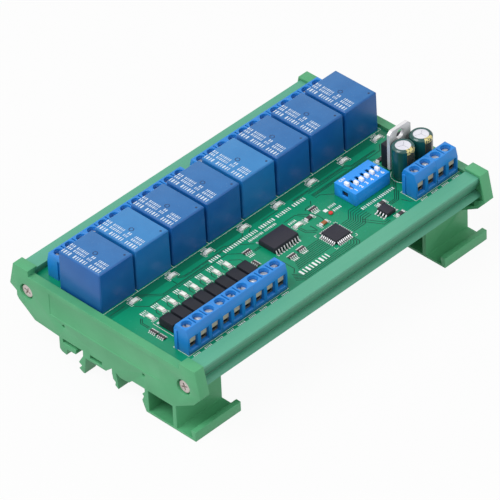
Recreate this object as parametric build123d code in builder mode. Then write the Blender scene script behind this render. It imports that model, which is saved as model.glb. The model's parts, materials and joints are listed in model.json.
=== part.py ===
"""Relay and input expansion module on a board carrier for a 35 mm top-hat rail.

A moulded carrier profile holds the board by its two long edges. An end plate closes each
end and carries the rail foot: a fixed hook, two short hooks and a springy latch with a
screwdriver tray. The board carries eight relays, a row of output terminals behind them,
input and supply terminals in front, optocouplers, three chips, a six-way switch, a voltage
regulator and two capacitors. X runs along the rail, +Y points to the relays, and Z rises
from the surface that the feet stand on. All sizes are in millimetres.
"""
import os

from build123d import *

# Relays, in one row along the back
relay_count = 8
relay_length = 15.9
relay_gap = 0.6
relay_width = 19.5
relay_height = 15.8
relay_draft = 1
relay_bevel = 0.5
relay_edge_margin = 12.35
relay_row_shift = -0.4
relay_row_margin = 0.3

# Screw terminals, all of one section
pole_pitch = 5.08
terminal_edge_margin = 4.4
terminal_depth = 6.54
terminal_height = 9.93
terminal_slant_start = 6.67
terminal_slant = 0.84
terminal_back_chamfer = 0.83
terminal_back_start = 8.0
terminal_rib = 0.4
terminal_rib_width = 1.2
terminal_rib_inset = 5.4
well_radius = 1.8
well_sides = 16
well_inset = 3.2
window_width = 3.72
window_sill = 1.3
window_head = 6.5
window_depth = 5.4
ramp_depth = 1.2
ramp_rise = 0.4
tick_width = 0.5
tick_length = 3.7
tick_depth = 0.6
cage_gap = 0.1
cage_wall = 0.6
cage_jaw = 1.9
clamp_screw_radius = 1.65
clamp_screw_height = 1.4
clamp_screw_sides = 8
output_poles = 3
output_modules = 8
input_poles = 3
input_modules = 3
input_end_margin = 4.3
supply_poles = 2
supply_modules = 2
supply_end_margin = 0.56

# Board and the rails that grip it
board_thickness = 1.6
board_top = 26.3
fit_gap = 0.2
rail_grip = 2.1
rail_lip_grip = 0.75
rail_lip_thickness = 2.3
rail_margin = 5.1
rail_corner = 0.15
rail_side_height = 1.6
rail_groove_margin = 2.8
rail_groove_drop = 4.0
rail_skirt_margin = 5.3
rail_skirt_drop = 5.7
rail_skirt_edge = 0.3
rail_foot_margin = 3.0
rail_wall = 2.6
floor_drop = 13.4
floor_thickness = 1.6
floor_inset = 6.0

# End plates
plate_wall = 3.2
wall_rise = 1.0
cap_depth = 4.2
cap_top_thickness = 0.9
cap_inset = 1.2
cap_rim = 1.0
plate_top_overhang = 5.7
plate_overhang = 7.9
plate_widest_drop = 6.9
plate_corner_overhang = 4.6
plate_corner_drop = 10.9
panel_inset = 10.7
panel_height = 8.4
panel_drop = 1.0
panel_depth = 0.2
dimple_radius = 0.65
dimple_sides = 12
dimple_depth = 1.2
dimple_drop = 11.1
dimple_front_y = -17.8
dimple_back_y = 19.1

# Screws that hold the end plates
screw_overhang = 0.2
screw_drop = 5.85
screw_shank_radius = 1.3
screw_shank_sides = 12
screw_head_radius = 2.5
screw_head_height = 1.3
screw_length = 9.5
screw_recess_radius = 2.95
screw_recess_depth = 1.7

# Rail foot: the rail's flanges lie against the seat, between the latch and the fixed hook
rail_width = 35.0
seat_height = 9.5
hook_thickness = 5.1
hook_slot_height = 1.6
hook_slot_depth = 2.5
hook_bite = 3.6
hook_reach = 6.2
hook_wall = 1.7
latch_gap = 0.4
latch_bite = 0.85
latch_length = 20.8
latch_wall = 1.6
latch_floor = 0.8
latch_width = 14.3
tray_width = 8.6
tray_lip_height = 3.9
tray_lip_thickness = 2.0
short_hook_inset = 5.4
centre_hook_y = -2.8
slot_centre_y = 4.5
slot_size = (5.6, 1.5)

# Six-way switch
switch_end_margin = 28.55
switch_front_margin = 21.95
switch_width = 9.9
switch_height = 5.1
switch_shell = 0.8
switch_way_count = 6
switch_pitch = 2.54
switch_base_height = 3.2
switch_window_width = 2.65
switch_window_height = 2.15
switch_window_sill = 1.5
slot_width = 1.3
slot_length = 3.9
knob_width = 1.1
knob_length = 1.7
knob_rise = 0.9
knob_end_gap = 0.15
skirt_width = 1.9
skirt_height = 0.8
skirt_overhang = 1.9
skirt_gap = 0.2
ways_set_on = (1,)

# Voltage regulator, standing with its tab towards the capacitors
regulator_end_margin = 10.6
regulator_front_margin = 21.1
regulator_width = 10.2
regulator_tab_thickness = 1.3
regulator_tab_height = 15.5
regulator_tab_chamfer = 1.2
regulator_body_thickness = 3.2
regulator_body_height = 9.2
regulator_body_bevel = 0.45
regulator_standoff = 0.8
regulator_hole_radius = 1.85
regulator_hole_drop = 2.9
regulator_lead_pitch = 2.54
regulator_lead_width = 0.9
regulator_lead_clearance = 0.15
regulator_lead_length = 3.2

# Electrolytic capacitors in printed sleeves, placed from the board's front right corner
capacitor_radius = 4.0
capacitor_height = 12.7
capacitor_top_radius = 2.75
capacitor_top_sink = 0.3
capacitor_curl = 0.6
capacitor_margins = ((13.8, 16.85), (5.3, 16.55))

# Optocouplers, one behind each input, in four-lead cases
opto_count = 8
opto_start_margin = 10.7
opto_front_margin = 18.95
opto_length = 6.5
opto_width = 4.5
opto_height = 3.5
opto_draft = 7
opto_lead_pitch = 2.54

# Chips: margins from the board's left and front edges, then body size and leads
driver_margins = (65.3, 23.3)
driver_size = (11.5, 7.5, 2.4)
driver_lead_count = 9
controller_margins = (80.3, 11.5)
controller_size = (7.0, 7.0, 1.5)
controller_lead_count = 8
transceiver_margins = (100.4, 7.6)
transceiver_size = (3.9, 4.9, 1.6)
transceiver_lead_count = 4
coarse_lead_pitch = 1.27
fine_lead_pitch = 0.8
lead_width = 0.45
lead_thickness = 0.2
lead_slant = 0.55
lead_foot = 0.75
chip_stand = 0.15
chip_draft = 10

# Small surface-mounted pieces: margins from the board's left and front edges
led_size = (3.2, 1.6, 0.8)
channel_led_shifts = (3.75, 4.65, 4.85, 5.3, 4.95, 4.75, 3.9, 3.85)
channel_led_gap = 3.25
input_led_shift = -1.0
input_led_front_margin = 27.3
led_row_gap = 9.6
status_led_margins = ((75.8, 24.4), (87.5, 20.7))
array_size = (3.2, 1.8, 0.55)
array_margins = ((62.7, 14.7), (67.3, 15.0), (85.2, 26.7), (54.4, 27.1))
turned_array_margins = ((5.0, 17.4), (5.0, 21.1))
opto_array_gap = 2.6
opto_array_front_margin = 20.9
chip_part_size = (3.0, 1.5, 0.7)
chip_part_margins = ((80.8, 24.3), (82.2, 18.8), (102.7, 3.3), (102.5, 11.7), (119.4, 28.1))

# Sizes worked out from the ones above
relay_pitch = relay_length + relay_gap
output_row_length = (output_poles * output_modules + 1) * pole_pitch
board_length = max(relay_count * relay_pitch, output_row_length) + 2 * relay_row_margin
profile_length = board_length + 2 * fit_gap
module_length = profile_length + 2 * plate_wall
relay_rows_depth = relay_edge_margin + relay_width + channel_led_gap
board_width = relay_rows_depth + led_row_gap + input_led_front_margin
board_edge = board_width / 2
board_end = board_length / 2
terminal_face = board_edge - terminal_edge_margin
relay_y = board_edge - relay_edge_margin - relay_width / 2
screw_places = [(side * (board_edge + screw_overhang), board_top - screw_drop) for side in (-1, 1)]
input_start = -board_end + input_end_margin
supply_start = board_end - supply_end_margin - supply_poles * supply_modules * pole_pitch
output_start = -output_row_length / 2
output_half = output_modules // 2
input_poles_x = [input_start + (i + 0.5) * pole_pitch for i in range(input_poles * input_modules)]
supply_poles_x = [supply_start + (i + 0.5) * pole_pitch for i in range(supply_poles * supply_modules)]
output_poles_x = [
    output_start + (i + 0.5 + (i >= output_poles * output_half)) * pole_pitch
    for i in range(output_poles * output_modules)
]
relays_x = [relay_row_shift + (i - (relay_count - 1) / 2) * relay_pitch for i in range(relay_count)]
switch_length = (switch_way_count - 1) * switch_pitch + skirt_width + 2 * (skirt_gap + switch_shell)
switch_x = board_end - switch_end_margin
switch_y = -board_edge + switch_front_margin
ways_x = [switch_x + (i - (switch_way_count - 1) / 2) * switch_pitch for i in range(switch_way_count)]
regulator_x = board_end - regulator_end_margin
regulator_y = -board_edge + regulator_front_margin
regulator_back_y = regulator_y + regulator_tab_thickness
regulator_leads_y = regulator_back_y + regulator_body_thickness / 2
optos_x = [-board_end + opto_start_margin + i * pole_pitch for i in range(opto_count)]
opto_y = -board_edge + opto_front_margin

os.makedirs("parts", exist_ok=True)


def write(builder, label):
    """Label a finished piece and write it to its own file."""
    builder.part.label = label
    export_step(builder.part, f"parts/{label}.step")


def up(height):
    """Plane parallel to the board, at a height above its top face."""
    return Plane.XY.offset(board_top + height)


def places(margins):
    """Places on the board from margins to its left and front edges."""
    return [(x - board_end, y - board_edge) for x, y in margins]


def well_y(side):
    """Line of the screw wells of a terminal row whose wires enter from that side."""
    return side * (terminal_face - well_inset)


# Circuit board, with a hole for each of the regulator's leads
regulator_pins = [(regulator_x + i * regulator_lead_pitch, regulator_leads_y) for i in (-1, 0, 1)]
with BuildPart() as board:
    with BuildSketch(up(-board_thickness)):
        Rectangle(board_length, board_width)
        with Locations(*regulator_pins):
            hole_width = regulator_lead_width + 2 * regulator_lead_clearance
            Rectangle(hole_width, hole_width, mode=Mode.SUBTRACT)
    extrude(amount=board_thickness)
write(board, "circuit_board")

# Carrier profile: board groove, screw port and skirt on each side, over a thin floor
rail_outer = board_edge + rail_margin
ledge = board_edge - rail_grip
lip_end = board_edge - rail_lip_grip
groove_bottom = board_edge + rail_groove_margin
skirt_end = board_edge + rail_skirt_margin
groove_end = board_edge + fit_gap
floor_half = board_edge - floor_inset
with BuildPart() as carrier:
    with BuildSketch(Plane((-profile_length / 2, 0, board_top), x_dir=(0, 1, 0), z_dir=(1, 0, 0))):
        with BuildLine():
            upper = Polyline(
                (0, floor_thickness - floor_drop),
                (floor_half - 0.4, floor_thickness - floor_drop),
                (board_edge - rail_grip - 0.5, -rail_skirt_drop - 1.8),
                (board_edge - rail_grip - 0.5, -board_thickness - 1.2),
                (ledge, -board_thickness - 0.8),
                (ledge, -board_thickness),
                (groove_end, -board_thickness),
                (groove_end, 0),
                (lip_end, 0),
                (lip_end, rail_lip_thickness),
                (rail_outer - rail_corner, rail_lip_thickness),
                (rail_outer, rail_lip_thickness - rail_corner),
                (rail_outer, rail_lip_thickness - rail_side_height),
                (groove_bottom + 0.2, -rail_groove_drop + 0.2),
                (groove_bottom, -rail_groove_drop),
                (groove_bottom + 0.2, -rail_groove_drop - 0.2),
            )
            flare_end = (skirt_end, -rail_skirt_drop + rail_skirt_edge)
            flare = RadiusArc(upper @ 1, flare_end, 2.6)
            lower = Polyline(
                flare @ 1,
                (skirt_end, -rail_skirt_drop),
                (board_edge + rail_foot_margin, -rail_skirt_drop),
                (board_edge + rail_foot_margin - 0.7, -rail_skirt_drop - rail_wall),
                (floor_half + 5.5, -floor_drop + 4.0),
                (floor_half, -floor_drop),
                (0, -floor_drop),
                (0, floor_thickness - floor_drop),
            )
        make_face()
        mirror(about=Plane.YZ)
        with Locations(*[(y, z - board_top) for y, z in screw_places]):
            Circle(screw_shank_radius, mode=Mode.SUBTRACT)
    extrude(amount=profile_length)
write(carrier, "carrier_profile")

# End plate: one moulding with caps over the rails, the hooks and the latch with its tray
plate_face = Plane.YZ.offset(-module_length / 2)
cap_inner = board_edge - cap_inset
cap_under = board_top + rail_lip_thickness + fit_gap
cap_top = cap_under + cap_top_thickness
widest = board_top - plate_widest_drop
corner = board_top - plate_corner_drop
front_corner = [
    (-cap_inner, cap_top),
    (-board_edge - plate_top_overhang, cap_top),
    (-board_edge - plate_overhang, widest),
    (-board_edge - plate_corner_overhang, corner),
    (-board_edge + 4.8, seat_height + 0.2),
]
back_corner = [
    (cap_inner, cap_top),
    (board_edge + plate_top_overhang, cap_top),
    (board_edge + plate_overhang, widest + 1.0),
    (board_edge + plate_corner_overhang + 0.3, corner + 3.2),
    (board_edge + plate_corner_overhang + 0.3, corner + 1.2),
    (board_edge + plate_corner_overhang - 0.5, corner),
    (board_edge + 0.2, seat_height + 3.2),
    (board_edge - 3.0, seat_height + 0.7),
]
front_rim = [
    (-board_edge + 3.0, seat_height + 3.0),
    (-groove_bottom - 0.2, corner + 0.4),
    (-groove_bottom - 0.2, corner + 2.6),
    (-board_edge - plate_overhang + cap_rim, widest + 0.5),
    (-rail_outer - fit_gap, cap_under),
    (-cap_inner, cap_under),
]
back_rim = [
    (board_edge - 2.0, seat_height + 3.1),
    (board_edge + plate_corner_overhang - cap_rim, corner + 0.6),
    (board_edge + plate_corner_overhang - cap_rim, corner + 3.6),
    (board_edge + plate_overhang - cap_rim, widest + 1.6),
    (rail_outer + fit_gap, cap_under),
    (cap_inner, cap_under),
]
flange_edge = rail_width / 2
slot_end = flange_edge + hook_slot_depth
hook_nose = flange_edge - hook_bite
short_hook = flange_edge - short_hook_inset
latch_outer = -flange_edge - latch_gap
latch_inner = latch_outer - latch_width
tray_end = latch_inner - tray_width
tray_lip = tray_end + tray_lip_thickness
floor_under = board_top - floor_drop
box_top = floor_under - latch_wall
with BuildPart() as left_plate:
    with BuildSketch(plate_face):
        with BuildLine():
            Polyline(
                (-cap_inner, board_top + wall_rise),
                *front_corner,
                (slot_end + hook_wall, seat_height),
                *reversed(back_corner),
                (cap_inner, board_top + wall_rise),
                close=True,
            )
        make_face()
    extrude(amount=plate_wall)
    for outline in (front_corner + front_rim, back_corner + back_rim):
        with BuildSketch(plate_face):
            with BuildLine():
                Polyline(*outline, close=True)
            make_face()
        extrude(amount=cap_depth)
    with BuildSketch(plate_face):
        with BuildLine():
            Polyline(
                (slot_end + hook_wall, seat_height + 0.7),
                (slot_end + hook_wall, seat_height - 4.9),
                (slot_end + 0.7, seat_height - hook_reach + 0.4),
                (slot_end - 1.4, seat_height - hook_reach),
                (slot_end - 1.8, seat_height - 3.7),
                (hook_nose + 0.2, seat_height - 3.5),
                (hook_nose, seat_height - hook_slot_height),
                (slot_end, seat_height - hook_slot_height),
                (slot_end, seat_height),
                (short_hook - 1.5, seat_height),
                (short_hook - 1.4, seat_height - 2.3),
                (short_hook + 0.8, seat_height - 5.9),
                (short_hook - 0.6, seat_height - 6.8),
                (short_hook + 0.8, seat_height - 8.5),
                (short_hook - 1.0, 0),
                (short_hook - 1.8, 0),
                (short_hook - 2.7, seat_height - 2.6),
                (centre_hook_y + 2.9, seat_height - 2.6),
                (centre_hook_y, seat_height),
                (centre_hook_y, seat_height - 1.9),
                (centre_hook_y - 0.4, seat_height - 4.1),
                (centre_hook_y - 1.5, seat_height - 4.9),
                (centre_hook_y - 1.2, seat_height - 6.3),
                (centre_hook_y - 2.7, seat_height - 7.3),
                (centre_hook_y - 2.4, seat_height - 3.2),
                (centre_hook_y - 1.8, seat_height - 0.7),
                (centre_hook_y - 3.8, seat_height - 1.8),
                (centre_hook_y - 7.9, seat_height - 1.5),
                (centre_hook_y - 9.4, seat_height),
                (latch_outer, seat_height),
                (latch_outer, seat_height + 1.6),
                (slot_end, seat_height + 1.6),
                close=True,
            )
        make_face()
        with Locations((slot_centre_y, seat_height - 0.65)):
            Rectangle(*slot_size, mode=Mode.SUBTRACT)
    extrude(amount=hook_thickness)
    with BuildSketch(plate_face):
        with Locations((slot_centre_y, seat_height - 0.65)):
            Rectangle(*slot_size)
    extrude(amount=plate_wall, mode=Mode.SUBTRACT)
    with BuildSketch(plate_face):
        with BuildLine():
            Polyline(
                (latch_outer, floor_under),
                (latch_outer, seat_height - 1.4),
                (latch_outer + latch_gap + latch_bite, seat_height - 2.8),
                (latch_outer + latch_gap + 0.1, seat_height - 3.4),
                (latch_outer + latch_gap + 0.15 + latch_bite, seat_height - 5.4),
                (latch_outer - 0.3, 0),
                (tray_end, 0),
                (tray_end, tray_lip_height),
                (tray_lip, tray_lip_height),
                (tray_lip, tray_lip_height - 0.7),
                (tray_lip - 0.5, latch_floor),
                (latch_inner, latch_floor),
                (latch_inner, floor_under),
                close=True,
            )
        make_face()
    extrude(amount=latch_length)
    with BuildSketch(plate_face):
        with Locations(((latch_outer + latch_inner) / 2, (latch_floor + seat_height) / 2)):
            Rectangle(latch_width - 2 * latch_wall, seat_height - latch_floor)
    extrude(amount=plate_wall, mode=Mode.SUBTRACT)
    with BuildSketch(plate_face.offset(plate_wall)):
        with Locations(((latch_outer + latch_inner) / 2, (latch_floor + box_top) / 2)):
            Rectangle(latch_width - 2 * latch_wall, box_top - latch_floor)
    extrude(amount=latch_length, mode=Mode.SUBTRACT)
    with BuildSketch(plate_face):
        with Locations(*screw_places):
            Circle(screw_recess_radius)
    extrude(amount=screw_recess_depth, mode=Mode.SUBTRACT)
    with BuildSketch(plate_face):
        with Locations(*screw_places):
            Circle(screw_shank_radius + fit_gap)
    extrude(amount=plate_wall, mode=Mode.SUBTRACT)
    with BuildSketch(plate_face):
        with Locations((0, board_top - panel_drop - panel_height / 2)):
            Rectangle(2 * (board_edge - panel_inset), panel_height)
    extrude(amount=panel_depth, mode=Mode.SUBTRACT)
    with BuildSketch(plate_face):
        with Locations(*[(y, board_top - dimple_drop) for y in (dimple_front_y, dimple_back_y)]):
            RegularPolygon(dimple_radius, dimple_sides)
    extrude(amount=dimple_depth, mode=Mode.SUBTRACT)
write(left_plate, "end_plate_left")

with BuildPart() as right_plate:
    mirror(left_plate.part, about=Plane.YZ)
write(right_plate, "end_plate_right")

# Self-tapping screws through the end plates into the profile's ports
with BuildPart() as plate_screws:
    with BuildSketch(plate_face.offset(screw_recess_depth)):
        with Locations(*screw_places):
            Circle(screw_head_radius)
    extrude(amount=-screw_head_height)
    with BuildSketch(plate_face.offset(screw_recess_depth)):
        with Locations(*screw_places):
            RegularPolygon(screw_shank_radius, screw_shank_sides)
    extrude(amount=screw_length)
    mirror(about=Plane.YZ)
write(plate_screws, "end_plate_screws")

# Relays: sealed cases with bevelled edges, drafted towards the top
for number, x in enumerate(relays_x, 1):
    with BuildPart() as relay:
        with BuildSketch(up(0)) as outline:
            with Locations((x, relay_y)):
                Rectangle(relay_length, relay_width)
            chamfer(outline.vertices(), relay_bevel)
        extrude(amount=relay_height, taper=relay_draft)
        chamfer(relay.faces().sort_by(Axis.Z)[-1].edges(), relay_bevel)
    write(relay, f"relay_{number}")


def write_terminal(label, start, poles, side):
    """Housing of one terminal module, with its wells, wire windows and joining rib."""
    middles = [start + (i + 0.5) * pole_pitch for i in range(poles)]
    rib_end = start if side < 0 else start + poles * pole_pitch
    groove_side = start + poles * pole_pitch if side < 0 else start
    rib_y = side * (terminal_face - terminal_rib_inset)
    section = [
        (0, 0),
        (0, terminal_slant_start),
        (terminal_slant, terminal_height),
        (terminal_depth - terminal_back_chamfer, terminal_height),
        (terminal_depth, terminal_back_start),
        (terminal_depth, 0),
    ]
    window = [
        (0, window_sill),
        (ramp_depth, window_sill + ramp_rise),
        (window_depth, window_sill + ramp_rise),
        (window_depth, window_head),
        (0, window_head),
    ]
    with BuildPart() as housing:
        with BuildSketch(Plane.YZ.offset(start)):
            with BuildLine():
                Polyline(*[(side * (terminal_face - y), board_top + z) for y, z in section], close=True)
            make_face()
        extrude(amount=poles * pole_pitch)
        with BuildSketch(up(0)):
            with Locations((groove_side, rib_y)):
                Rectangle(2 * (terminal_rib + cage_gap), terminal_rib_width + 2 * cage_gap)
        extrude(amount=terminal_back_start, mode=Mode.SUBTRACT)
        with BuildSketch(up(0)):
            with Locations((rib_end + side * terminal_rib / 2, rib_y)):
                Rectangle(terminal_rib, terminal_rib_width)
        extrude(amount=terminal_back_start - cage_gap)
        with BuildSketch(up(window_head)):
            with Locations(*[(x, well_y(side)) for x in middles]):
                RegularPolygon(well_radius, well_sides)
        extrude(amount=terminal_height, mode=Mode.SUBTRACT)
        for x in middles:
            with BuildSketch(Plane.YZ.offset(x - window_width / 2)):
                with BuildLine():
                    Polyline(*[(side * (terminal_face - y), board_top + z) for y, z in window], close=True)
                make_face()
            extrude(amount=window_width, mode=Mode.SUBTRACT)
        with BuildSketch(up(terminal_height - tick_depth)):
            with Locations(*[(start + i * pole_pitch, well_y(side)) for i in range(1, poles)]):
                Rectangle(tick_width, tick_length)
        extrude(amount=tick_depth, mode=Mode.SUBTRACT)
    write(housing, label)


def write_clamps(row, poles_x, side):
    """Steel cages behind the wire windows of a row, and the screws that stand on them."""
    cage_floor = window_sill + ramp_rise
    width = window_width - 2 * cage_gap
    height = window_head - cage_floor
    with BuildPart() as cages:
        with BuildSketch(Plane.XZ.offset(-side * (terminal_face - ramp_depth))):
            with Locations(*[(x, board_top + cage_floor + height / 2) for x in poles_x]):
                Rectangle(width, height)
            with Locations(*[(x, board_top + cage_floor + (cage_wall + height - cage_jaw) / 2) for x in poles_x]):
                Rectangle(width - 2 * cage_wall, height - cage_wall - cage_jaw, mode=Mode.SUBTRACT)
        extrude(amount=side * (window_depth - ramp_depth - cage_gap))
    write(cages, f"{row}_clamp_cages")
    with BuildPart() as screws:
        with BuildSketch(up(window_head)):
            with Locations(*[(x, well_y(side)) for x in poles_x]):
                RegularPolygon(clamp_screw_radius, clamp_screw_sides)
        extrude(amount=clamp_screw_height)
    write(screws, f"{row}_clamp_screws")


for i in range(input_modules):
    write_terminal(f"input_terminal_{i + 1}", input_start + i * input_poles * pole_pitch, input_poles, -1)
for i in range(supply_modules):
    write_terminal(f"supply_terminal_{i + 1}", supply_start + i * supply_poles * pole_pitch, supply_poles, -1)
for i in range(output_modules):
    module_start = output_start + (i * output_poles + (i >= output_half)) * pole_pitch
    write_terminal(f"output_terminal_{i + 1}", module_start, output_poles, 1)
write_clamps("input", input_poles_x, -1)
write_clamps("supply", supply_poles_x, -1)
write_clamps("output", output_poles_x, 1)

# Switch: a cover with a slot for each slider and an end window, over a base block
with BuildPart() as switch_cover:
    with BuildSketch(up(0)):
        with Locations((switch_x, switch_y)):
            Rectangle(switch_length, switch_width)
    extrude(amount=switch_height)
    with BuildSketch(up(0)):
        with Locations((switch_x, switch_y)):
            Rectangle(switch_length - 2 * switch_shell, switch_width - 2 * switch_shell)
    extrude(amount=switch_height - switch_shell, mode=Mode.SUBTRACT)
    with BuildSketch(up(switch_height - switch_shell)):
        with Locations(*[(x, switch_y) for x in ways_x]):
            Rectangle(slot_width, slot_length)
    extrude(amount=switch_shell, mode=Mode.SUBTRACT)
    with BuildSketch(Plane.YZ.offset(switch_x - switch_length / 2)):
        with Locations((switch_y, board_top + switch_window_sill + switch_window_height / 2)):
            Rectangle(switch_window_width, switch_window_height)
    extrude(amount=switch_shell, mode=Mode.SUBTRACT)
write(switch_cover, "switch_cover")

with BuildPart() as switch_base:
    with BuildSketch(up(0)):
        with Locations((switch_x, switch_y)):
            Rectangle(switch_length - 2 * switch_shell, switch_width - 2 * switch_shell)
    extrude(amount=switch_base_height)
write(switch_base, "switch_base")

# Sliders: a knob in its slot, with a skirt between the base and the cover
half_travel = (slot_length - knob_length) / 2 - knob_end_gap
for way, x in enumerate(ways_x, 1):
    knob_y = switch_y + (half_travel if way in ways_set_on else -half_travel)
    with BuildPart() as slider:
        with BuildSketch(up(switch_base_height)):
            with Locations((x, knob_y - skirt_overhang / 2)):
                Rectangle(skirt_width, knob_length + skirt_overhang)
        extrude(amount=skirt_height)
        with BuildSketch(up(switch_base_height)):
            with Locations((x, knob_y)):
                Rectangle(knob_width, knob_length)
        extrude(amount=switch_height + knob_rise - switch_base_height)
    write(slider, f"switch_slider_{way}")

# Voltage regulator: metal tab, moulded body behind it and three leads into the board
tab_top = regulator_standoff + regulator_tab_height
with BuildPart() as tab:
    with BuildSketch(Plane.XZ.offset(-regulator_y)):
        with Locations((regulator_x, board_top + regulator_standoff + regulator_tab_height / 2)):
            Rectangle(regulator_width, regulator_tab_height)
        with Locations((regulator_x, board_top + tab_top - regulator_hole_drop)):
            Circle(regulator_hole_radius, mode=Mode.SUBTRACT)
    extrude(amount=-regulator_tab_thickness)
    chamfer(tab.faces().sort_by(Axis.Z)[-1].edges().filter_by(Axis.Y), regulator_tab_chamfer)
write(tab, "regulator_tab")

with BuildPart() as regulator:
    with BuildSketch(up(regulator_standoff)):
        with Locations((regulator_x, regulator_leads_y)):
            Rectangle(regulator_width, regulator_body_thickness)
    extrude(amount=regulator_body_height)
    chamfer(regulator.faces().sort_by(Axis.Y)[-1].edges(), regulator_body_bevel)
write(regulator, "regulator_body")

with BuildPart() as regulator_leads:
    with BuildSketch(up(regulator_standoff)):
        with Locations(*regulator_pins):
            Rectangle(regulator_lead_width, regulator_lead_width)
    extrude(amount=-regulator_standoff - regulator_lead_length)
write(regulator_leads, "regulator_leads")

# Capacitors: cans in sleeves that curl over the rim and leave the top bare
capacitor_places = [(board_end - x, y - board_edge) for x, y in capacitor_margins]
for number, (x, y) in enumerate(capacitor_places, 1):
    with BuildPart() as capacitor:
        with BuildSketch(Plane((x, y, board_top), x_dir=(1, 0, 0), z_dir=(0, -1, 0))):
            with BuildLine():
                Polyline(
                    (0, 0),
                    (capacitor_radius - capacitor_curl, 0),
                    (capacitor_radius, capacitor_curl),
                    (capacitor_radius, capacitor_height - capacitor_curl),
                    (capacitor_radius - capacitor_curl, capacitor_height),
                    (capacitor_top_radius, capacitor_height),
                    (capacitor_top_radius, capacitor_height - capacitor_top_sink),
                    (0, capacitor_height - capacitor_top_sink),
                    close=True,
                )
            make_face()
        revolve(axis=Axis((x, y, 0), (0, 0, 1)))
    write(capacitor, f"capacitor_{number}")


def bent_lead(reach, height):
    """Outline of a lead, slanting from the body's side face down to its foot on the board."""
    heel = reach + lead_slant
    return [
        (reach, height),
        (heel, lead_thickness),
        (heel + lead_foot, lead_thickness),
        (heel + lead_foot, 0),
        (heel - lead_thickness, 0),
        (reach, height - 2 * lead_thickness),
    ]


# Optocouplers: drafted both ways from the parting plane, with two leads at each end
opto_parting = chip_stand + (opto_height - chip_stand) / 2
with BuildPart() as optocouplers:
    for direction in (-1, 1):
        with BuildSketch(up(opto_parting)):
            with Locations(*[(x, opto_y) for x in optos_x]):
                Rectangle(opto_width, opto_length)
        extrude(amount=direction * (opto_height - chip_stand) / 2, taper=opto_draft)
write(optocouplers, "optocouplers")

with BuildPart() as optocoupler_leads:
    for x in optos_x:
        for shift in (-opto_lead_pitch / 2, opto_lead_pitch / 2):
            with BuildSketch(Plane((x + shift, opto_y, board_top), x_dir=(0, 1, 0), z_dir=(1, 0, 0))):
                with BuildLine():
                    Polyline(*bent_lead(opto_length / 2, opto_parting), close=True)
                make_face()
                mirror(about=Plane.YZ)
            extrude(amount=lead_width, both=True)
write(optocoupler_leads, "optocoupler_leads")


def write_chip(label, place, size, lead_rows):
    """Moulded chip with bent leads; each pair of rows has its direction, count and pitch."""
    x, y = place
    length, width, height = size
    parting = chip_stand + (height - chip_stand) / 2
    with BuildPart() as body:
        for direction in (-1, 1):
            with BuildSketch(up(parting)):
                with Locations(place):
                    Rectangle(length, width)
            extrude(amount=direction * (height - chip_stand) / 2, taper=chip_draft)
    write(body, f"{label}_chip")
    with BuildPart() as leads:
        for side, count, pitch in lead_rows:
            reach = length / 2 if side == "X" else width / 2
            for i in range(count):
                shift = (i - (count - 1) / 2) * pitch
                if side == "X":
                    plane = Plane((x, y + shift, board_top), x_dir=(1, 0, 0), z_dir=(0, -1, 0))
                else:
                    plane = Plane((x + shift, y, board_top), x_dir=(0, 1, 0), z_dir=(1, 0, 0))
                with BuildSketch(plane):
                    with BuildLine():
                        Polyline(*bent_lead(reach, parting), close=True)
                    make_face()
                    mirror(about=Plane.YZ)
                extrude(amount=lead_width / 2, both=True)
    write(leads, f"{label}_leads")


driver_place, controller_place, transceiver_place = places((driver_margins, controller_margins, transceiver_margins))
write_chip("driver", driver_place, driver_size, [("Y", driver_lead_count, coarse_lead_pitch)])
write_chip(
    "controller",
    controller_place,
    controller_size,
    [("X", controller_lead_count, fine_lead_pitch), ("Y", controller_lead_count, fine_lead_pitch)],
)
write_chip("transceiver", transceiver_place, transceiver_size, [("X", transceiver_lead_count, coarse_lead_pitch)])


def write_small_pieces(label, size, spots, turned_spots=()):
    """Small rectangular pieces on the board, along X or turned along Y."""
    length, width, height = size
    with BuildPart() as row:
        with BuildSketch(up(0)):
            if spots:
                with Locations(*spots):
                    Rectangle(length, width)
            if turned_spots:
                with Locations(*turned_spots):
                    Rectangle(width, length)
        extrude(amount=height)
    write(row, label)


channel_led_y = relay_y - relay_width / 2 - channel_led_gap
input_led_y = -board_edge + input_led_front_margin
channel_led_places = [(x + shift, channel_led_y) for x, shift in zip(relays_x, channel_led_shifts)]
write_small_pieces("channel_leds", led_size, channel_led_places)
write_small_pieces("input_leds", led_size, [], [(x + input_led_shift, input_led_y) for x in optos_x])
write_small_pieces("status_leds", led_size, places(status_led_margins))
opto_array_x = optos_x[-1] + opto_width / 2 + opto_array_gap + array_size[1] / 2
turned_arrays = [*places(turned_array_margins), (opto_array_x, -board_edge + opto_array_front_margin)]
write_small_pieces("resistor_arrays", array_size, places(array_margins), turned_arrays)
write_small_pieces("chip_resistors", chip_part_size, places(chip_part_margins))
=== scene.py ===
import json
import math

import bpy
from mathutils import Matrix, Vector

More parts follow.
